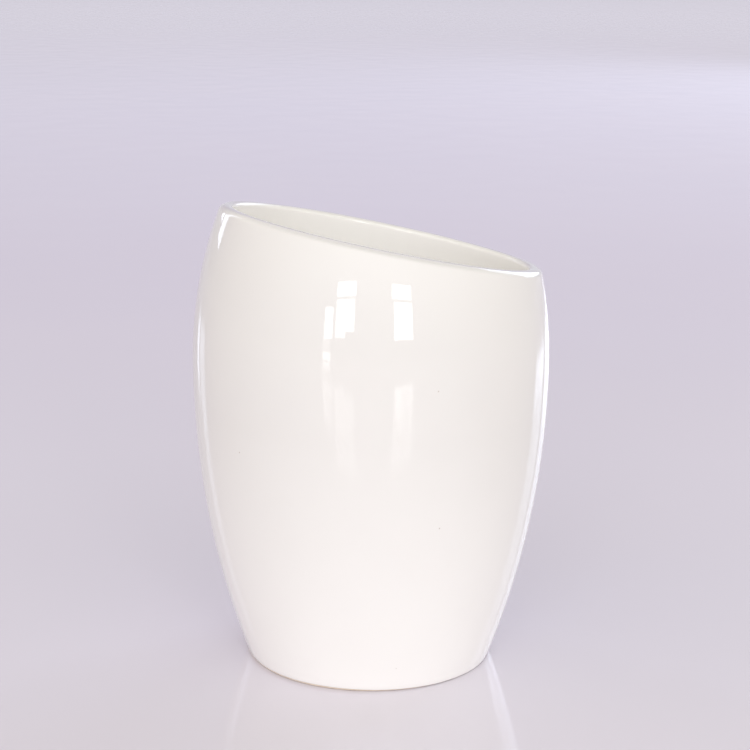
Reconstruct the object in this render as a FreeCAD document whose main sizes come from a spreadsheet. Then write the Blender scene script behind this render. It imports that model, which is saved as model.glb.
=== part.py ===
import FreeCAD, Part
import math
import os

import Sketcher

# A bathroom tumbler with a slanted mouth, in millimetres.
# It is one slip-cast ceramic cup, glazed inside and out. The clay is a barrel whose outline is two arcs
# that meet upright at the belly, and a slanted plane cuts its mouth, high on one side and low on the
# other. The glaze is an even coat on the clay. It runs over the lip and down inside, and outside it
# stops short of the table, because the foot ring is left bare to stand in the kiln. A second patch of
# glaze lies in the recess inside the foot ring.
# The origin is the centre of the foot, on the table. +Z is up, and +X points to the mouth's low side.

# Driving dimensions
SIZES = [
    ("belly_diameter", 81.0, "widest diameter, over the glaze"),
    ("belly_height", 68.9, "height of the widest place"),
    ("foot_diameter", 56.2, "diameter where the flank would meet the table, over the glaze"),
    ("shoulder_arc_radius", 100.0, "radius of the outline above the belly, over the glaze"),
    ("high_rim_height", 105.0, "height of the mouth's outer corner on its high side, before rounding"),
    ("low_rim_height", 90.0, "height of the mouth's outer corner on its low side, before rounding"),
    ("clay_wall", 2.4, "thickness of the clay wall"),
    ("outer_lip_share", 0.58, "radius of the clay lip's outer edge, as a share of the clay wall"),
    ("inner_lip_share", 0.23, "radius of the clay lip's inner edge, as a share of the clay wall"),
    ("floor_thickness", 4.0, "thickness of the clay floor above the recess"),
    ("floor_corner_radius", 9.0, "radius between the floor and the wall inside, in the clay"),
    ("foot_ring_width", 4.0, "width of the clay foot ring"),
    ("foot_edge_radius", 0.3, "radius of both edges of the foot ring"),
    ("recess_depth", 2.0, "depth of the recess inside the foot ring, in the clay"),
    ("recess_corner_radius", 0.9, "radius at the top of the recess, in the clay"),
    ("glaze_thickness", 0.3, "thickness of the glaze"),
    ("bare_strip_height", 0.1, "height of bare clay between the foot's rounding and the glaze"),
    ("glaze_bead_share", 0.8, "radius of the glaze's lower edge, as a share of its thickness"),
    ("cut_overrun", 4.0, "how far a cut runs past what it cuts"),
]

doc = FreeCAD.newDocument("SlantedTumbler")
sheet = doc.addObject("Spreadsheet::Sheet", "Sizes")
for row, (alias, value, meaning) in enumerate(SIZES, start=1):
    sheet.set(f"A{row}", meaning)
    sheet.set(f"B{row}", str(value))
    sheet.setAlias(f"B{row}", alias)
doc.recompute()


def size(alias):
    return f"Sizes.{alias}"


def number(expression):
    """What an expression comes to with the sizes in the sheet."""
    return float(sheet.evalExpression(expression))


# Expressions that several pieces share
GLAZE = size("glaze_thickness")
BELLY_RADIUS = f"({size('belly_diameter')} / 2)"
FOOT_RADIUS = f"({size('foot_diameter')} / 2)"
FLANK_DROP = f"({BELLY_RADIUS} - {FOOT_RADIUS})"
FLANK_ARC_RADIUS = f"(({size('belly_height')}^2 + {FLANK_DROP}^2) / (2 * {FLANK_DROP}))"
SHOULDER_ARC_RADIUS = size("shoulder_arc_radius")
BLANK_TOP = f"({size('high_rim_height')} + {size('cut_overrun')})"
CUT_TOP = f"({BLANK_TOP} + {size('cut_overrun')})"
FLOOR_TOP = f"({size('recess_depth')} + {size('floor_thickness')})"
MID_FLOOR = f"({size('recess_depth')} + {size('floor_thickness')} / 2)"
RECESS_RADIUS = f"({FOOT_RADIUS} - {GLAZE} - {size('foot_ring_width')})"
MID_RING_RADIUS = f"({RECESS_RADIUS} + {size('foot_ring_width')} / 2)"
GLAZE_BEAD = f"({size('glaze_bead_share')} * {GLAZE})"
GLAZE_LINE = f"({size('foot_edge_radius')} + {size('bare_strip_height')})"


def shoulder_radius_at(height):
    """Radius of the glazed surface at a height above the belly."""
    rise = f"({height} - {size('belly_height')})"
    return f"({BELLY_RADIUS} - {SHOULDER_ARC_RADIUS} + sqrt({SHOULDER_ARC_RADIUS}^2 - {rise}^2))"


HIGH_RIM_RADIUS = shoulder_radius_at(size("high_rim_height"))
LOW_RIM_RADIUS = shoulder_radius_at(size("low_rim_height"))
RIM_FALL = f"({size('high_rim_height')} - {size('low_rim_height')})"
MOUTH_SLOPE = f"({RIM_FALL} / ({HIGH_RIM_RADIUS} + {LOW_RIM_RADIUS}))"


def mouth_height(drop):
    """Height on the axis of the mouth's plane, moved down square to itself by a drop."""
    glazed = f"({size('high_rim_height')} - {MOUTH_SLOPE} * {HIGH_RIM_RADIUS})"
    return f"({glazed} - {drop} * sqrt(1 + {MOUTH_SLOPE}^2))"


# Sketch helpers
# Constraints name a sketch's axes and a curve's points by number. The origin is where the horizontal
# axis starts.
HORIZONTAL_AXIS, VERTICAL_AXIS = range(-1, -3, -1)
START, END, CENTRE = range(1, 4)
ORIGIN = (HORIZONTAL_AXIS, START)


def new_sketch(body, name, plane_role):
    """A sketch on one of the body's own origin planes."""
    plane = next(item for item in body.Origin.OriginFeatures if item.Role == plane_role)
    sketch = body.newObject("Sketcher::SketchObject", body.Name + name)
    sketch.AttachmentSupport = (plane, [""])
    sketch.MapMode = "FlatFace"
    return sketch


def bind(sketch, kind, name, expression, *geometry):
    """A dimension of the sketch, bound to the sheet."""
    index = sketch.addConstraint(Sketcher.Constraint(kind, *geometry, number(expression)))
    sketch.renameConstraint(index, name)
    sketch.setExpression(f"Constraints.{name}", expression)


def pin_point(sketch, name, across, up, *point):
    """Holds a point of the sketch at its distances across and up from the origin."""
    bind(sketch, "DistanceX", f"{name}_across", across, *ORIGIN, *point)
    bind(sketch, "DistanceY", f"{name}_up", up, *ORIGIN, *point)


def close_chain(sketch, edges):
    """Joins each edge's end to the next edge's start, round to the first."""
    for this, following in zip(edges, edges[1:] + edges[:1]):
        sketch.addConstraint(Sketcher.Constraint("Coincident", this, END, following, START))


def barrel_outline(body, name, depth, bottom, top):
    """Half the barrel's outline at a depth below the glazed surface: up the flank and the shoulder,
    which meet upright at the belly, and back down the axis."""
    belly_radius = f"({BELLY_RADIUS} - {depth})"
    flank_radius = f"({FLANK_ARC_RADIUS} - {depth})"
    shoulder_radius = f"({SHOULDER_ARC_RADIUS} - {depth})"
    fall = number(f"{size('belly_height')} - {bottom}")
    rise = number(f"{top} - {size('belly_height')}")
    along_z = FreeCAD.Vector(0, 0, 1)

    def arc(radius, start_angle, end_angle):
        centre = FreeCAD.Vector(number(f"{belly_radius} - {radius}"), number(size("belly_height")), 0)
        return Part.ArcOfCircle(Part.Circle(centre, along_z, number(radius)), start_angle, end_angle)

    flank = arc(flank_radius, -math.asin(fall / number(flank_radius)), 0)
    shoulder = arc(shoulder_radius, 0, math.asin(rise / number(shoulder_radius)))
    axis_bottom = FreeCAD.Vector(0, number(bottom), 0)
    axis_top = FreeCAD.Vector(0, number(top), 0)

    sketch = new_sketch(body, name, "XZ_Plane")
    bottom_line = sketch.addGeometry(Part.LineSegment(axis_bottom, flank.StartPoint))
    flank_arc = sketch.addGeometry(flank)
    shoulder_arc = sketch.addGeometry(shoulder)
    top_line = sketch.addGeometry(Part.LineSegment(shoulder.EndPoint, axis_top))
    axis_line = sketch.addGeometry(Part.LineSegment(axis_top, axis_bottom))

    sketch.addConstraint(Sketcher.Constraint("Coincident", bottom_line, END, flank_arc, START))
    sketch.addConstraint(Sketcher.Constraint("Tangent", flank_arc, END, shoulder_arc, START))
    sketch.addConstraint(Sketcher.Constraint("Coincident", shoulder_arc, END, top_line, START))
    sketch.addConstraint(Sketcher.Constraint("Coincident", top_line, END, axis_line, START))
    sketch.addConstraint(Sketcher.Constraint("Coincident", axis_line, END, bottom_line, START))
    sketch.addConstraint(Sketcher.Constraint("Horizontal", bottom_line))
    sketch.addConstraint(Sketcher.Constraint("Horizontal", top_line))
    sketch.addConstraint(Sketcher.Constraint("PointOnObject", axis_line, START, VERTICAL_AXIS))
    sketch.addConstraint(Sketcher.Constraint("PointOnObject", axis_line, END, VERTICAL_AXIS))
    sketch.addConstraint(Sketcher.Constraint("Horizontal", flank_arc, CENTRE, flank_arc, END))
    pin_point(sketch, "belly", belly_radius, size("belly_height"), flank_arc, END)
    bind(sketch, "Radius", "flank_radius", flank_radius, flank_arc)
    bind(sketch, "Radius", "shoulder_radius", shoulder_radius, shoulder_arc)
    bind(sketch, "DistanceY", "bottom", bottom, *ORIGIN, axis_line, END)
    bind(sketch, "DistanceY", "top", top, *ORIGIN, axis_line, START)
    return sketch


def polygon(body, name, corners):
    """A closed outline of straight lines seen from the front, with each corner bound to the sheet."""
    sketch = new_sketch(body, name, "XZ_Plane")
    points = [FreeCAD.Vector(number(across), number(up), 0) for across, up in corners]
    lines = [
        sketch.addGeometry(Part.LineSegment(this, following))
        for this, following in zip(points, points[1:] + points[:1])
    ]
    close_chain(sketch, lines)
    for index, (across, up) in enumerate(corners):
        pin_point(sketch, f"corner_{index}", across, up, lines[index], START)
    return sketch


def disc(body, name, radius):
    """A circle round the axis, on the table's plane."""
    sketch = new_sketch(body, name, "XY_Plane")
    circle = Part.Circle(FreeCAD.Vector(0, 0, 0), FreeCAD.Vector(0, 0, 1), number(radius))
    rim = sketch.addGeometry(circle)
    sketch.addConstraint(Sketcher.Constraint("Coincident", rim, CENTRE, *ORIGIN))
    bind(sketch, "Radius", "radius", radius, rim)
    return sketch


# Feature helpers
def turn(body, kind, name, sketch):
    """Turns the sketch once round the axis, as a solid or as a groove."""
    feature = body.newObject(kind, body.Name + name)
    feature.Profile = sketch
    feature.ReferenceAxis = (sketch, ["V_Axis"])
    doc.recompute()
    return feature


def check_removed(cut, before):
    if cut.Shape.Volume >= before:
        raise ValueError(f"{cut.Name} cut nothing")


def hollow(body, name, sketch):
    """Turns the sketch out of the body."""
    before = body.Shape.Volume
    check_removed(turn(body, "PartDesign::Groove", name, sketch), before)


def bore_from_table(body, name, radius, depth):
    """Cuts a disc upwards from the table's plane."""
    before = body.Shape.Volume
    bore = body.newObject("PartDesign::Pocket", body.Name + name)
    bore.Profile = disc(body, f"{name}Disc", radius)
    bore.Reversed = True
    bore.setExpression("Length", depth)
    doc.recompute()
    check_removed(bore, before)


def cut_mouth(body, drop):
    """Cuts away all that is above the mouth's plane."""
    before = body.Shape.Volume
    reach = f"({BELLY_RADIUS} + {size('cut_overrun')})"
    corners = [
        (f"-{reach}", f"({mouth_height(drop)} + {MOUTH_SLOPE} * {reach})"),
        (reach, f"({mouth_height(drop)} - {MOUTH_SLOPE} * {reach})"),
        (reach, CUT_TOP),
        (f"-{reach}", CUT_TOP),
    ]
    cut = body.newObject("PartDesign::Pocket", f"{body.Name}Mouth")
    cut.Profile = polygon(body, "MouthOutline", corners)
    cut.Type = "ThroughAll"
    cut.SideType = "Symmetric"
    doc.recompute()
    check_removed(cut, before)


# Edges are picked by where they lie: every point tried along them is this near to its place.
NEAR = 0.001
POINTS_TRIED = 9


def barrel_radius(depth):
    """The radius of the barrel at a depth below the glazed surface, as a function of the height."""
    inset = number(depth)
    belly_radius = number(BELLY_RADIUS)
    belly_height = number(size("belly_height"))
    flank_radius, shoulder_radius = number(FLANK_ARC_RADIUS), number(SHOULDER_ARC_RADIUS)

    def radius(height):
        arc = shoulder_radius if height > belly_height else flank_radius
        return belly_radius - arc + math.sqrt((arc - inset) ** 2 - (height - belly_height) ** 2)

    return radius


def constant_radius(expression):
    return lambda height: number(expression)


def edges_at(body, radius_at, plane_height, slope="0"):
    """Names the body's edges that lie on the plane of that height on the axis, which falls towards +X
    with the slope, and at the radius that radius_at gives for their height."""
    height, fall = number(plane_height), number(slope)

    def lies_there(point):
        off_plane = point.z + fall * point.x - height
        off_radius = math.hypot(point.x, point.y) - radius_at(point.z)
        return abs(off_plane) < NEAR and abs(off_radius) < NEAR

    names = [
        f"Edge{index}"
        for index, edge in enumerate(body.Shape.Edges, start=1)
        if all(lies_there(point) for point in edge.discretize(Number=POINTS_TRIED))
    ]
    if not names:
        raise ValueError(f"{body.Name} has no edge at height {height:.3f}")
    return names


def round_edges(body, name, edges, radius):
    fillet = body.newObject("PartDesign::Fillet", body.Name + name)
    fillet.Base = (fillet.BaseFeature, edges)
    fillet.setExpression("Radius", radius)
    doc.recompute()


def open_barrel(body, bottom, growth):
    """The open barrel of the clay, hollow and cut at the mouth, with its surface grown by a thickness."""
    outer_depth = f"({GLAZE} - {growth})"
    inner_depth = f"({GLAZE} + {size('clay_wall')} + {growth})"
    floor_top = f"({FLOOR_TOP} + {growth})"
    outline = barrel_outline(body, "Outside", outer_depth, bottom, BLANK_TOP)
    turn(body, "PartDesign::Revolution", "Barrel", outline)
    hollow(body, "Hollow", barrel_outline(body, "Inside", inner_depth, floor_top, CUT_TOP))
    cut_mouth(body, outer_depth)
    for name, depth, share in (
        ("InnerLip", inner_depth, size("inner_lip_share")),
        ("OuterLip", outer_depth, size("outer_lip_share")),
    ):
        lip = edges_at(body, barrel_radius(depth), mouth_height(outer_depth), MOUTH_SLOPE)
        round_edges(body, name, lip, f"{share} * {size('clay_wall')} + {growth}")
    corner = edges_at(body, barrel_radius(inner_depth), floor_top)
    round_edges(body, "FloorCorner", corner, f"{size('floor_corner_radius')} - {growth}")


def coat_on(clay, blank, label):
    """The glaze is what its blank holds beyond the clay."""
    coat = doc.addObject("Part::Cut", f"{blank.Name}OnClay")
    coat.Label = label
    coat.Base = blank
    coat.Tool = clay
    doc.recompute()
    return coat


# Ceramic body: the wall, the floor and the bare foot ring, in fired clay
def make_ceramic_body():
    clay = doc.addObject("PartDesign::Body", "Clay")
    clay.Label = "ceramic_body"
    open_barrel(clay, bottom="0", growth="0")
    bore_from_table(clay, "Recess", RECESS_RADIUS, size("recess_depth"))
    recess_corner = edges_at(clay, constant_radius(RECESS_RADIUS), size("recess_depth"))
    round_edges(clay, "RecessCorner", recess_corner, size("recess_corner_radius"))
    ring_outside = edges_at(clay, barrel_radius(GLAZE), "0")
    ring_inside = edges_at(clay, constant_radius(RECESS_RADIUS), "0")
    round_edges(clay, "FootEdges", ring_outside + ring_inside, size("foot_edge_radius"))
    return clay


# Glaze coat: outside from the glaze line up, over the lip, and inside down to the floor
def make_glaze_coat(clay):
    blank = doc.addObject("PartDesign::Body", "CoatBlank")
    open_barrel(blank, bottom=GLAZE_LINE, growth=GLAZE)
    lower_edge = edges_at(blank, barrel_radius("0"), GLAZE_LINE)
    round_edges(blank, "Bead", lower_edge, GLAZE_BEAD)
    # A bore that ends inside the clay takes the blank out of the recess under the floor.
    bore_from_table(blank, "Core", MID_RING_RADIUS, MID_FLOOR)
    return coat_on(clay, blank, "glaze_coat")


# Base glaze: a shallow dish of glaze in the recess, up against the floor and down the foot ring's side
def make_base_glaze(clay):
    blank = doc.addObject("PartDesign::Body", "BaseBlank")
    plug = [
        ("0", GLAZE_LINE),
        (MID_RING_RADIUS, GLAZE_LINE),
        (MID_RING_RADIUS, MID_FLOOR),
        ("0", MID_FLOOR),
    ]
    turn(blank, "PartDesign::Revolution", "Plug", polygon(blank, "PlugOutline", plug))
    dish_radius = f"({RECESS_RADIUS} - {GLAZE})"
    dish_top = f"({size('recess_depth')} - {GLAZE})"
    bore_from_table(blank, "Dish", dish_radius, dish_top)
    dish_corner = edges_at(blank, constant_radius(dish_radius), dish_top)
    round_edges(blank, "DishCorner", dish_corner, f"{size('recess_corner_radius')} - {GLAZE}")
    lower_edge = edges_at(blank, constant_radius(dish_radius), GLAZE_LINE)
    round_edges(blank, "Bead", lower_edge, GLAZE_BEAD)
    return coat_on(clay, blank, "base_glaze")


ceramic_body = make_ceramic_body()
pieces = [ceramic_body, make_glaze_coat(ceramic_body), make_base_glaze(ceramic_body)]
doc.recompute()

# Nothing is written unless every feature has worked and each piece is one sound solid.
for item in doc.Objects:
    if "Invalid" in item.State or "Error" in item.State:
        raise ValueError(f"{item.Name} failed: {item.State}")
for piece in pieces:
    shape = piece.Shape
    if shape.isNull() or not shape.isValid() or len(shape.Solids) != 1:
        raise ValueError(f"{piece.Label} isn't one sound solid")

os.makedirs("parts", exist_ok=True)
for piece in pieces:
    piece.Shape.exportStep(f"parts/{piece.Label}.step")
    print(f"{piece.Label}: {piece.Shape.Volume:.1f} mm3")
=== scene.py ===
import math

import bpy
import numpy as np
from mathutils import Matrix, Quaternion, Vector


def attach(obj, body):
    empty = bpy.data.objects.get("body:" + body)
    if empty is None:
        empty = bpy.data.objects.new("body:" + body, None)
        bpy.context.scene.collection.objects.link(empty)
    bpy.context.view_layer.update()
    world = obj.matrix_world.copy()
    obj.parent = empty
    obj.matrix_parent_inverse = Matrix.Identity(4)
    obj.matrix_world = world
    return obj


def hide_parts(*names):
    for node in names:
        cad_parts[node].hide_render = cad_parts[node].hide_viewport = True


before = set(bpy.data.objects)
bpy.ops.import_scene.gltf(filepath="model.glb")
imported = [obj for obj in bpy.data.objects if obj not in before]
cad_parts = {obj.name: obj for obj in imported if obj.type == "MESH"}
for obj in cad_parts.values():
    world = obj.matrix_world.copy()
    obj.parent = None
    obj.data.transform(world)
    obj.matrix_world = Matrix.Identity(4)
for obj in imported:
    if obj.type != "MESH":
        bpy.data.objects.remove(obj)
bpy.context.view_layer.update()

# A bathroom tumbler in white glazed ceramic, with a slanted mouth.
# The clay body keeps its solid. The two glazes are modelled here again, to the same sizes but
# finer, with what firing leaves on them: faint waves, an uneven lower line and a few specks.

MM = 0.001  # metres; the object's sizes below are in millimetres, as in the solids

# The barrel, over the glaze: an arc from the foot to the belly, and another from there to the rim
BELLY_RADIUS = 40.5
BELLY_HEIGHT = 68.9
FOOT_RADIUS = 28.1
SHOULDER_ARC = 100.0
HIGH_RIM_HEIGHT = 105.0
LOW_RIM_HEIGHT = 90.0

# The glaze's thickness, and over the glaze, the wall, the lip's two roundings, and the floor
GLAZE = 0.3
WALL = 3.0
OUTER_LIP = 1.692
INNER_LIP = 0.852
FLOOR_HEIGHT = 6.3
FLOOR_CORNER = 8.7

# The recess under the foot, over its glaze
RECESS_RADIUS = 23.5
RECESS_HEIGHT = 1.7
RECESS_CORNER = 0.6

# Where the glaze stops above the table, how far that line tilts and wavers, and the bead along it
GLAZE_LINE = 0.4
LINE_TILT = 0.24
LINE_TILT_ANGLE = math.radians(163)
LINE_WAVER = 0.09
LINE_LOBES = range(2, 23)
COAT_LINE_SEED = 5322
RECESS_LINE_SEED = 18
BEAD = 0.24

# What the glaze's tone goes by, partly its real thickness and partly painted light and shade: it
# lies thickest inside and low down, where its lighter tone is also painted light. Outside it thins
# up to a height, to a share of its thickest, where its darker tone is also painted shade on the
# shoulder, and over the lip it thins away, from so far below the mouth's plane, to a grey that is
# painted shade and a painted reflection.
THIN_AND_SHADE_HEIGHT = 60.0
THIN_AND_SHADE_SHARE = 0.3
LIP_FADE = 1.1

# Waves in the fired surface: how many, how long they are, and how far they tilt it, in radians
WAVE_COUNT = 40
WAVE_LENGTHS = (9.0, 45.0)
WAVE_TILT = 0.004
WAVE_SEED = 5

# How finely the glazes are divided: points in a ring, rings over each stretch of the side that
# shows, and how many of those rings there are to one of the side on the clay
AROUND = 384
BEAD_STEPS = 6
SIDE_STEPS = 96
LIP_STEPS = 12
INSIDE_STEPS = 50
CORNER_STEPS = 20
FLOOR_STEPS = 10
HIDDEN_STRIDE = 4

# Rounds in which the lip's heights settle on the mouth's plane
SETTLING_ROUNDS = 30

FLANK_DROP = BELLY_RADIUS - FOOT_RADIUS
FLANK_ARC = (BELLY_HEIGHT**2 + FLANK_DROP**2) / (2 * FLANK_DROP)
ANGLES = np.linspace(0, math.tau, AROUND, endpoint=False)


def ring(radius, height):
    """A point at each angle round the axis. Radius and height are one number, or one per angle."""
    x, y = radius * np.cos(ANGLES), radius * np.sin(ANGLES)
    return np.stack([x, y, height + 0 * ANGLES], axis=1)


def all_round(vector):
    """The same direction at each angle."""
    return np.tile(np.asarray(vector, float), (AROUND, 1))


UP = all_round((0, 0, 1))
DOWN = -UP


def barrel(height, depth=0.0):
    """Points and outward normals of the barrel at a depth below its glazed surface."""
    arc = np.where(height < BELLY_HEIGHT, FLANK_ARC, SHOULDER_ARC)
    rise = height - BELLY_HEIGHT
    run = np.sqrt((arc - depth) ** 2 - rise**2)
    points = ring(BELLY_RADIUS - arc + run, height)
    return points, ring(run / (arc - depth), rise / (arc - depth))


# The mouth's plane falls towards +X, from the rim's high corner to its low one.
high_rim_radius = barrel(HIGH_RIM_HEIGHT)[0][0, 0]
low_rim_radius = barrel(LOW_RIM_HEIGHT)[0][0, 0]
MOUTH_SLOPE = (HIGH_RIM_HEIGHT - LOW_RIM_HEIGHT) / (high_rim_radius + low_rim_radius)
MOUTH_HEIGHT = HIGH_RIM_HEIGHT - MOUTH_SLOPE * high_rim_radius
MOUTH_STRETCH = math.hypot(1, MOUTH_SLOPE)
MOUTH = all_round((MOUTH_SLOPE / MOUTH_STRETCH, 0, 1 / MOUTH_STRETCH))


def mouth_edge(depth, drop):
    """Heights where the barrel, at a depth, meets the mouth's plane moved down square to itself."""
    height = MOUTH_HEIGHT
    for _ in range(SETTLING_ROUNDS):
        points, _ = barrel(height, depth)
        height = MOUTH_HEIGHT - drop * MOUTH_STRETCH - MOUTH_SLOPE * points[:, 0]
    return height


def between(start, end, share):
    """Directions a share of the way round from one set to another."""
    angle = np.arccos(np.clip((start * end).sum(axis=1, keepdims=True), -1, 1))
    return (np.sin((1 - share) * angle) * start + np.sin(share * angle) * end) / np.sin(angle)


# A ring, from here on, is its points and the directions in which the surface faces there.
def rounding(centres, start, end, radius, steps):
    """Rings over a rounded edge, or with a radius below zero, along a hollow corner."""
    for share in np.linspace(0, 1, steps):
        normals = between(start, end, share)
        yield centres + radius * normals, normals


def wall_rings(start, end, depth, facing, steps):
    """Rings along the barrel between two sets of heights, without the first and the last."""
    for share in np.linspace(0, 1, steps)[1:-1]:
        points, normals = barrel(start + share * (end - start), depth)
        yield points, facing * normals


def disc_rings(radius, height, normals):
    """Rings from a radius in towards the axis, without the first and the axis itself."""
    for share in np.linspace(1, 0, FLOOR_STEPS)[1:-1]:
        yield ring(share * radius, height), normals


def glaze_line(seed):
    """Heights where the glaze stops, which waver round the foot."""
    random = np.random.default_rng(seed)
    waver = sum(
        np.sin(lobes * ANGLES + random.uniform(0, math.tau)) / lobes for lobes in LINE_LOBES
    )
    return GLAZE_LINE + LINE_TILT * np.cos(ANGLES - LINE_TILT_ANGLE) + LINE_WAVER * waver


def coat_rings(line):
    """Rings over the cup's glaze, from the line at the foot, over the lip and down to the floor."""
    bead, flank = barrel(line + BEAD, BEAD)
    yield from rounding(bead, DOWN, flank, BEAD, BEAD_STEPS)
    outer_lip, shoulder = barrel(mouth_edge(OUTER_LIP, OUTER_LIP), OUTER_LIP)
    start = bead + BEAD * flank
    end = outer_lip + OUTER_LIP * shoulder
    yield from wall_rings(start[:, 2], end[:, 2], 0.0, 1, SIDE_STEPS)
    yield from rounding(outer_lip, shoulder, MOUTH, OUTER_LIP, LIP_STEPS)
    inner_lip, wall = barrel(mouth_edge(WALL - INNER_LIP, INNER_LIP), WALL - INNER_LIP)
    yield (outer_lip + OUTER_LIP * MOUTH + inner_lip + INNER_LIP * MOUTH) / 2, MOUTH
    yield from rounding(inner_lip, MOUTH, -wall, INNER_LIP, LIP_STEPS)
    corner, corner_wall = barrel(FLOOR_HEIGHT + FLOOR_CORNER, WALL + FLOOR_CORNER)
    start = inner_lip - INNER_LIP * wall
    end = corner + FLOOR_CORNER * corner_wall
    yield from wall_rings(start[:, 2], end[:, 2], WALL, -1, INSIDE_STEPS)
    yield from rounding(corner, -corner_wall, UP, -FLOOR_CORNER, CORNER_STEPS)
    yield from disc_rings(corner[0, 0], FLOOR_HEIGHT, UP)


def recess_rings(line):
    """Rings over the glaze in the recess, from the line on the foot ring's inside to the middle."""
    inward = -ring(1.0, 0.0)
    bead = ring(RECESS_RADIUS + BEAD, line + BEAD)
    yield from rounding(bead, DOWN, inward, BEAD, BEAD_STEPS)
    corner = ring(RECESS_RADIUS - RECESS_CORNER, RECESS_HEIGHT - RECESS_CORNER)
    yield from rounding(corner, inward, DOWN, -RECESS_CORNER, CORNER_STEPS)
    yield from disc_rings(RECESS_RADIUS - RECESS_CORNER, RECESS_HEIGHT, DOWN)


def waved(points, normals):
    """The points, moved along their normals by the waves in the fired surface."""
    random = np.random.default_rng(WAVE_SEED)
    height = np.zeros(len(points))
    for _ in range(WAVE_COUNT):
        direction = random.normal(size=3)
        turns = math.tau / random.uniform(*WAVE_LENGTHS) / np.linalg.norm(direction)
        phase = random.uniform(0, math.tau)
        height += np.sin(turns * points @ direction + phase) / np.linalg.norm(turns * direction)
    return points + normals * (WAVE_TILT * height / math.sqrt(WAVE_COUNT))[:, None]


def thickness_and_painted_shade(points):
    """How thick the glaze is taken to lie at a ring's points, from 0 at the mouth's plane to 1; the
    same value paints light inside and low down, and paints shade up the outside and over the lip.
    """
    outside, _ = barrel(points[:, 2])
    depth = np.hypot(outside[:, 0], outside[:, 1]) - np.hypot(points[:, 0], points[:, 1])
    inward = np.clip(depth / WALL, 0, 1)
    downward = np.clip(1 - points[:, 2] / THIN_AND_SHADE_HEIGHT, 0, 1)
    # Thicker glaze inside and low down, and also painted light there; thinner up the outside, and
    # also painted shade
    gathered_and_shaded = THIN_AND_SHADE_SHARE + (1 - THIN_AND_SHADE_SHARE) * np.maximum(inward, downward)
    below_mouth = (MOUTH_HEIGHT - MOUTH_SLOPE * points[:, 0] - points[:, 2]) / MOUTH_STRETCH
    return np.clip(below_mouth / LIP_FADE, 0, 1) * gathered_and_shaded


def glaze_shell(name, edge, rings, tip, tip_normal):
    """A closed coat of glaze: the side that shows, from its edge on the clay to its tip on the
    axis, and the side on the clay, one glaze's thickness below it."""
    rings = list(rings)
    shown = [waved(points, normals) for points, normals in rings]
    hidden = [points - GLAZE * normals for points, normals in rings[BEAD_STEPS::HIDDEN_STRIDE]]
    loops = [edge, *shown, *reversed(hidden)]
    tips = [tip, tip - GLAZE * tip_normal]
    first = np.arange(len(loops)) * AROUND
    turn = np.arange(AROUND)
    following = (turn + 1) % AROUND

    def band(lower, upper):
        quads = [lower + turn, lower + following, upper + following, upper + turn]
        return np.stack(quads, axis=1).tolist()

    last_shown = len(shown)
    faces = []
    for index in range(len(loops)):
        if index != last_shown:
            faces += band(first[index], first[(index + 1) % len(loops)])
    shown_tip = len(loops) * AROUND
    hidden_tip = shown_tip + 1
    for this, after in zip(turn.tolist(), following.tolist()):
        faces.append((first[last_shown] + this, first[last_shown] + after, shown_tip))
        faces.append((hidden_tip, first[last_shown + 1] + after, first[last_shown + 1] + this))
    if tip_normal[2] < 0:  # a coat that ends looking down would be inside out
        faces = [face[::-1] for face in faces]

    mesh = bpy.data.meshes.new(name)
    mesh.from_pydata((MM * np.concatenate([*loops, tips])).tolist(), [], faces)
    # Each point's glaze thickness, which also carries the glaze's painted light and shade
    painted_shade_and_thickness = mesh.attributes.new("thickness_and_painted_shade", "FLOAT", "POINT")
    painted_shade_and_thickness_at_tips = np.ones(len(tips))
    painted_shade_and_thickness.data.foreach_set("value", np.concatenate([*map(thickness_and_painted_shade, loops), painted_shade_and_thickness_at_tips]))
    mesh.shade_smooth()
    piece = bpy.data.objects.new(name, mesh)
    bpy.context.scene.collection.objects.link(piece)
    return piece


def make_glazes():
    """The coat on the cup and the patch in the recess, each in place of its solid."""
    coat_line = glaze_line(COAT_LINE_SEED)
    coat_edge, _ = barrel(coat_line, GLAZE)
    floor_tip = np.array([0.0, 0.0, FLOOR_HEIGHT])
    coat = glaze_shell("cup_glaze", coat_edge, coat_rings(coat_line), floor_tip, UP[0])
    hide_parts("glaze_coat")

    recess_line = glaze_line(RECESS_LINE_SEED)
    recess_edge = ring(RECESS_RADIUS + GLAZE, recess_line)
    recess_tip = np.array([0.0, 0.0, RECESS_HEIGHT])
    patch = glaze_shell("recess_glaze", recess_edge, recess_rings(recess_line), recess_tip, DOWN[0])
    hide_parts("base_glaze")
    return [coat, patch]


# Shader nodes. A colour mix knows its sockets by number: its share, two colours and the result.
MIX_SHARE, MIX_FROM, MIX_TO, MIX_RESULT = 0, 6, 7, 2

# Nearly all of a noise lies between these two values.
NOISE_LOW, NOISE_HIGH = 0.3, 0.7


def put(tree, kind, inputs, **settings):
    """A shader node with its settings, and its inputs set to values or joined to other outputs."""
    node = tree.nodes.new(kind)
    for key, value in settings.items():
        setattr(node, key, value)
    for name, value in inputs.items():
        if isinstance(value, bpy.types.NodeSocket):
            tree.links.new(value, node.inputs[name])
        else:
            node.inputs[name].default_value = value
    return node


def new_material(name):
    """A material whose nodes are still to be made, its node tree, and the place on the object."""
    material = bpy.data.materials.new(name)
    material.use_nodes = True
    tree = material.node_tree
    tree.nodes.clear()
    return material, tree, put(tree, "ShaderNodeTexCoord", {}).outputs["Object"]


def noise(tree, place, length, detail=2.0):
    """Noise whose lumps are about as long as given, in millimetres."""
    inputs = {"Vector": place, "Scale": 1 / (length * MM), "Detail": detail}
    return put(tree, "ShaderNodeTexNoise", inputs).outputs["Fac"]


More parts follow.
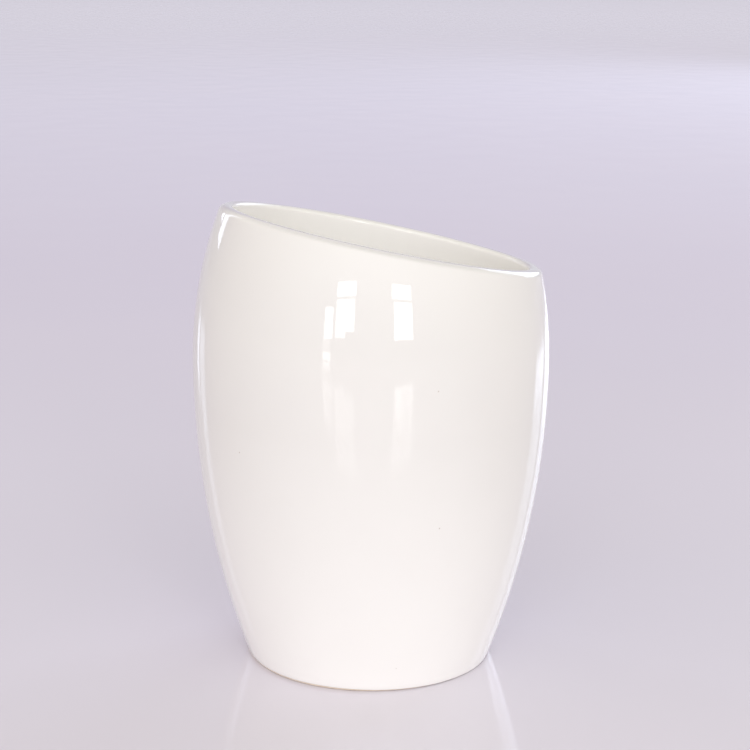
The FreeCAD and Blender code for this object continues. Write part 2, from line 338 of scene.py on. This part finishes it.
def ramp(tree, value, stops):
    """Colours along a value: each stop is a place from 0 to 1 and a colour."""
    node = put(tree, "ShaderNodeValToRGB", {"Fac": value})
    elements = node.color_ramp.elements
    while len(elements) < len(stops):
        elements.new(1.0)
    for element, (place, colour) in zip(elements, stops):
        element.position = place
        element.color = (*colour, 1)
    return node.outputs["Color"]


def spread(tree, value, low, high, start=NOISE_LOW, end=NOISE_HIGH):
    """A value from start to end, spread over low to high."""
    inputs = {"Value": value, "From Min": start, "From Max": end, "To Min": low, "To Max": high}
    return put(tree, "ShaderNodeMapRange", inputs).outputs["Result"]


def calculate(tree, operation, *values):
    """The result of an operation on values."""
    return put(tree, "ShaderNodeMath", dict(enumerate(values)), operation=operation).outputs[0]


def compare(tree, operation, vector, other):
    """A number from two vectors, such as the distance between them."""
    inputs = {0: vector, 1: other}
    return put(tree, "ShaderNodeVectorMath", inputs, operation=operation).outputs["Value"]


def mix(tree, share, colour, other):
    """The colour a share of the way from one to another."""
    inputs = {MIX_SHARE: share, MIX_FROM: colour, MIX_TO: other}
    return put(tree, "ShaderNodeMix", inputs, data_type="RGBA").outputs[MIX_RESULT]


def bumps(tree, height, depth):
    """Normals of a surface with bumps as deep as given, in millimetres."""
    inputs = {"Strength": 1.0, "Distance": depth * MM, "Height": height}
    return put(tree, "ShaderNodeBump", inputs).outputs["Normal"]


def finish_surface(tree, inputs):
    """The surface shader with these inputs, joined to the material's output."""
    surface = put(tree, "ShaderNodeBsdfPrincipled", inputs)
    put(tree, "ShaderNodeOutputMaterial", {"Surface": surface.outputs["BSDF"]})


# The glaze: its tones by its thickness, which also paint light and shade, the clouds in them, its
# gloss and its orange peel. Each length is that of the lumps.
GLAZE_TONES_AND_PAINTED_SHADE = [
    # The lip's lavender-grey is painted shade and a painted reflection, the middle tone is painted
    # shade up the outside, and the last is thick glaze and painted light inside and low down
    (0.0, (0.680, 0.662, 0.672)),
    (THIN_AND_SHADE_SHARE, (0.792, 0.770, 0.754)),
    (1.0, (0.970, 0.951, 0.930)),
]
GLAZE_IOR = 1.5
CLOUD_LENGTH = 30.0
CLOUD_DEPTH = 0.03
GLOSS_LENGTH = 9.0
GLAZE_ROUGHNESS = (0.02, 0.045)
PEEL_LENGTH = 2.5
PEEL_DEPTH = 0.001

# Specks in the glaze: three at the places where they show, and one in a small share of cells
# that lie about a spacing apart. Each is at its darkest out to a share of its radius.
SPECK_RADIUS = 0.2
SPECK_CORE = 0.5
SPECK_PLACES = [(2.15, -40.40, 70.86), (3.65, -38.26, 40.34), (-35.22, -18.97, 54.78)]
SPECK_SPACING = 3.0
SPECK_SHARE = 0.01
SPECK_COLOUR = (0.58, 0.52, 0.47)

# Bare fired clay: its mottling and its grain
CLAY_TONES = [(NOISE_LOW, (0.78, 0.66, 0.53)), (NOISE_HIGH, (0.88, 0.79, 0.67))]
CLAY_DETAIL = 6.0
MOTTLE_LENGTH = 2.0
GRAIN_LENGTH = 0.35
GRAIN_DEPTH = 0.02
CLAY_ROUGHNESS = (0.6, 0.85)


def speck(tree, away, radius):
    """1 in a speck's core and 0 past its radius, by how far its middle is away."""
    return spread(tree, away, 1, 0, SPECK_CORE * radius, radius)


def specks(tree, place):
    """Where the specks are: 1 in the core of one and 0 away from them."""
    cells = put(tree, "ShaderNodeTexVoronoi", {"Vector": place, "Scale": 1 / (SPECK_SPACING * MM)})
    near = speck(tree, cells.outputs["Distance"], SPECK_RADIUS / SPECK_SPACING)
    lot = put(tree, "ShaderNodeSeparateColor", {"Color": cells.outputs["Color"]}).outputs["Red"]
    found = calculate(tree, "MULTIPLY", near, calculate(tree, "LESS_THAN", lot, SPECK_SHARE))
    for centre in SPECK_PLACES:
        away = compare(tree, "DISTANCE", place, MM * Vector(centre))
        found = calculate(tree, "MAXIMUM", found, speck(tree, away, SPECK_RADIUS * MM))
    return found


def make_glaze_material():
    """Clear-glossy warm white glaze: cloudy by a hair, with a few dark specks and a fine peel."""
    material, tree, place = new_material("white_glaze")
    painted_shade_and_thickness = put(tree, "ShaderNodeAttribute", {}, attribute_name="thickness_and_painted_shade").outputs["Fac"]
    cloud = spread(tree, noise(tree, place, CLOUD_LENGTH), -CLOUD_DEPTH, CLOUD_DEPTH)
    # The glaze's tone by thickness, with painted light inside and low down and painted shade up the
    # outside and over the lip
    clear = ramp(tree, calculate(tree, "ADD", painted_shade_and_thickness, cloud), GLAZE_TONES_AND_PAINTED_SHADE)
    inputs = {
        "Base Color": mix(tree, specks(tree, place), clear, (*SPECK_COLOUR, 1)),
        "Roughness": spread(tree, noise(tree, place, GLOSS_LENGTH), *GLAZE_ROUGHNESS),
        "IOR": GLAZE_IOR,
        "Normal": bumps(tree, noise(tree, place, PEEL_LENGTH), PEEL_DEPTH),
    }
    finish_surface(tree, inputs)
    return material


def make_clay_material():
    """Bare fired clay: warm, mottled and fine-grained."""
    material, tree, place = new_material("bare_clay")
    grain = noise(tree, place, GRAIN_LENGTH, CLAY_DETAIL)
    inputs = {
        "Base Color": ramp(tree, noise(tree, place, MOTTLE_LENGTH, CLAY_DETAIL), CLAY_TONES),
        "Roughness": spread(tree, grain, *CLAY_ROUGHNESS),
        "Normal": bumps(tree, grain, GRAIN_DEPTH),
    }
    finish_surface(tree, inputs)
    return material


glaze_material = make_glaze_material()
for piece in make_glazes():
    piece.data.materials.append(glaze_material)
    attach(piece, "root")
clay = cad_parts["ceramic_body"]
clay.data.materials.clear()
clay.data.materials.append(make_clay_material())


# The floor: a plain pale top, some metres to each side, with a little gloss in which a faint
# image of the cup shows. The lengths of its lumps are in millimetres.
FLOOR_REACH = 12.0
FLOOR_TONES = [(NOISE_LOW, (0.71, 0.676, 0.757)), (NOISE_HIGH, (0.72, 0.682, 0.757))]
FLOOR_TONE_LENGTH = 200.0
FLOOR_ROUGHNESS = (0.10, 0.12)
FLOOR_GLOSS_LENGTH = 40.0
FLOOR_IOR = 1.45


def make_floor():
    """The floor under the cup, which isn't part of it."""
    material, tree, place = new_material("tabletop")
    inputs = {
        "Base Color": ramp(tree, noise(tree, place, FLOOR_TONE_LENGTH), FLOOR_TONES),
        "Roughness": spread(tree, noise(tree, place, FLOOR_GLOSS_LENGTH), *FLOOR_ROUGHNESS),
        "IOR": FLOOR_IOR,
    }
    finish_surface(tree, inputs)
    corners = [(-1, -1, 0), (1, -1, 0), (1, 1, 0), (-1, 1, 0)]
    mesh = bpy.data.meshes.new("floor")
    mesh.from_pydata([Vector(corner) * FLOOR_REACH for corner in corners], [], [(0, 1, 2, 3)])
    mesh.materials.append(material)
    floor = bpy.data.objects.new("floor", mesh)
    bpy.context.scene.collection.objects.link(floor)


make_floor()


# Light and camera. Directions are an azimuth, 0 towards -Y and 90 towards +X, and an elevation,
# in degrees, and lengths are in metres. The viewer stands 0.3 radians round from -Y, towards -X.
VIEW_AZIMUTH = -math.degrees(0.3)


def towards(azimuth, elevation):
    """The direction with this azimuth and elevation."""
    azimuth, elevation = math.radians(azimuth), math.radians(elevation)
    level = math.cos(elevation)
    return Vector((math.sin(azimuth) * level, -math.cos(azimuth) * level, math.sin(elevation)))


# The room's tones at these elevations, on the viewer's side, the far side, and the viewer's left
# and right
ROOM_ELEVATIONS = (0, 10, 20, 35, 60, 90)
ROOM_TONES = {
    "near": [
        (0.65, 0.65, 0.65),
        (0.92, 0.92, 0.92),
        (1.53, 1.53, 1.53),
        (2.04, 2.04, 1.98),
        (1.17, 1.16, 1.00),
        (0.19, 0.18, 0.15),
    ],
    "far": [
        (0.71, 0.71, 0.79),
        (0.48, 0.42, 0.58),
        (0.50, 0.49, 0.61),
        (0.91, 0.85, 0.84),
        (0.91, 0.86, 0.87),
        (0.19, 0.18, 0.15),
    ],
    "left": [
        (0.33, 0.29, 0.30),
        (0.51, 0.46, 0.45),
        (0.94, 0.88, 0.81),
        (1.17, 1.09, 0.99),
        (0.71, 0.66, 0.60),
        (0.19, 0.18, 0.15),
    ],
    "right": [
        (0.79, 0.73, 0.72),
        (1.06, 1.00, 0.95),
        (1.30, 1.29, 1.20),
        (0.98, 0.94, 0.82),
        (0.13, 0.12, 0.06),
        (0.19, 0.18, 0.15),
    ],
}

# The walls that hold the windows: the way to each from the viewer's azimuth, how far off it is,
# and the colour of its daylight
WALLS = {
    "near": (0.0, 1.15, (1.0, 1.0, 1.0)),
    "left": (-110.0, 1.67, (0.86, 0.96, 1.14)),
    "right": (110.0, 1.5, (0.86, 0.96, 1.14)),
}

# Window panes: wall, two sides along it, bottom and top above the table, and brightness
PANES = {
    "left_high": ("near", -0.465, -0.203, 0.384, 0.473, 8.0),
    "left_low": ("near", -0.466, -0.333, 0.149, 0.366, 6.0),
    "left_low_inner": ("near", -0.331, -0.213, 0.185, 0.366, 6.0),
    "left_side": ("near", -0.638, -0.505, 0.140, 0.327, 6.0),
    "left_side_foot": ("near", -0.650, -0.535, 0.062, 0.140, 1.4),
    "left_sill": ("near", -0.645, -0.525, 0.004, 0.056, 4.2),
    "right_high": ("near", 0.266, 0.549, 0.369, 0.461, 8.0),
    "right_low": ("near", 0.290, 0.414, 0.133, 0.350, 8.0),
    "right_low_outer": ("near", 0.421, 0.552, 0.133, 0.350, 8.0),
    "back_left": ("left", -0.940, -0.660, 0.175, 1.300, 2.2),
    "back_far_left": ("left", -1.200, -1.030, 0.200, 0.440, 3.6),
    "back_right_low": ("right", 0.500, 0.970, 0.225, 0.360, 5.0),
    "back_right": ("right", 0.500, 0.970, 0.360, 1.300, 2.9),
    "back_far_right_low": ("right", 1.110, 1.900, 0.235, 0.500, 4.1),
    "back_far_right": ("right", 1.110, 1.900, 0.500, 1.300, 2.8),
}


def light_world():
    """The room's tones all round, as the world's light."""
    world = bpy.data.worlds.new("room")
    bpy.context.scene.world = world
    world.use_nodes = True
    tree = world.node_tree
    tree.nodes.clear()
    direction = put(tree, "ShaderNodeTexCoord", {}).outputs["Generated"]
    height = put(tree, "ShaderNodeSeparateXYZ", {"Vector": direction}).outputs["Z"]
    places = [math.sin(math.radians(elevation)) for elevation in ROOM_ELEVATIONS]
    tones = {
        side: ramp(tree, height, list(zip(places, colours))) for side, colours in ROOM_TONES.items()
    }

    def by_side(along, low_side, high_side):
        """The tone of one side or of the other, by which one a direction lies towards."""
        share = calculate(tree, "GREATER_THAN", along, 0.0)
        return mix(tree, share, tones[low_side], tones[high_side])

    nearness = compare(tree, "DOT_PRODUCT", direction, towards(VIEW_AZIMUTH, 0))
    rightness = compare(tree, "DOT_PRODUCT", direction, towards(VIEW_AZIMUTH + 90, 0))
    near_square = calculate(tree, "MULTIPLY", nearness, nearness)
    right_square = calculate(tree, "MULTIPLY", rightness, rightness)
    both_squares = calculate(tree, "ADD", near_square, right_square)
    sideways = calculate(tree, "DIVIDE", right_square, both_squares)
    lengthwise_tone = by_side(nearness, "far", "near")
    sideways_tone = by_side(rightness, "left", "right")
    room = mix(tree, sideways, lengthwise_tone, sideways_tone)
    background = put(tree, "ShaderNodeBackground", {"Color": room, "Strength": 1.0})
    put(tree, "ShaderNodeOutputWorld", {"Surface": background.outputs["Background"]})


def hang_pane(name, wall, left, right, bottom, top, brightness):
    """A window pane on one of the walls, as a lamp."""
    azimuth, distance, daylight = WALLS[wall]
    away = towards(VIEW_AZIMUTH + azimuth, 0)
    along = towards(VIEW_AZIMUTH + azimuth + 90, 0)
    data = bpy.data.lights.new(name, "AREA")
    data.shape = "RECTANGLE"
    data.size, data.size_y = right - left, top - bottom
    data.energy = math.pi * data.size * data.size_y * brightness
    data.color = daylight
    lamp = bpy.data.objects.new(name, data)
    middle_height = Vector((0, 0, (bottom + top) / 2))
    lamp.location = distance * away + (left + right) / 2 * along + middle_height
    lamp.rotation_mode = "QUATERNION"
    lamp.rotation_quaternion = away.to_track_quat("Z", "Y")
    bpy.context.scene.collection.objects.link(lamp)


light_world()
for name, pane in PANES.items():
    hang_pane(name, *pane)


# The camera stands where the photograph was taken from: how far from the axis and how high, how
# far it looks down, to the side and rolls, and its lens in pixels and millimetres.
CAMERA_REACH = 0.40328
CAMERA_HEIGHT = 0.159332
CAMERA_DROP = 13.109
CAMERA_PAN = 0.127
CAMERA_ROLL = 0.505
FOCAL_PIXELS = 1814.82
PICTURE_PIXELS = 750
SENSOR_WIDTH = 36.0
CLIP_START, CLIP_END = 0.01, 100.0


def place_camera():
    """The scene's camera, in the photograph's place."""
    data = bpy.data.cameras.new("camera")
    data.sensor_width = SENSOR_WIDTH
    data.lens = SENSOR_WIDTH * FOCAL_PIXELS / PICTURE_PIXELS
    data.clip_start, data.clip_end = CLIP_START, CLIP_END
    camera = bpy.data.objects.new("camera", data)
    camera.location = CAMERA_REACH * towards(VIEW_AZIMUTH, 0) + Vector((0, 0, CAMERA_HEIGHT))
    looking = -towards(VIEW_AZIMUTH - CAMERA_PAN, CAMERA_DROP)
    roll = Quaternion((0, 0, 1), math.radians(CAMERA_ROLL))
    camera.rotation_mode = "QUATERNION"
    camera.rotation_quaternion = looking.to_track_quat("-Z", "Y") @ roll
    bpy.context.scene.collection.objects.link(camera)
    bpy.context.scene.camera = camera


place_camera()
bpy.context.scene.view_settings.view_transform = "Standard"
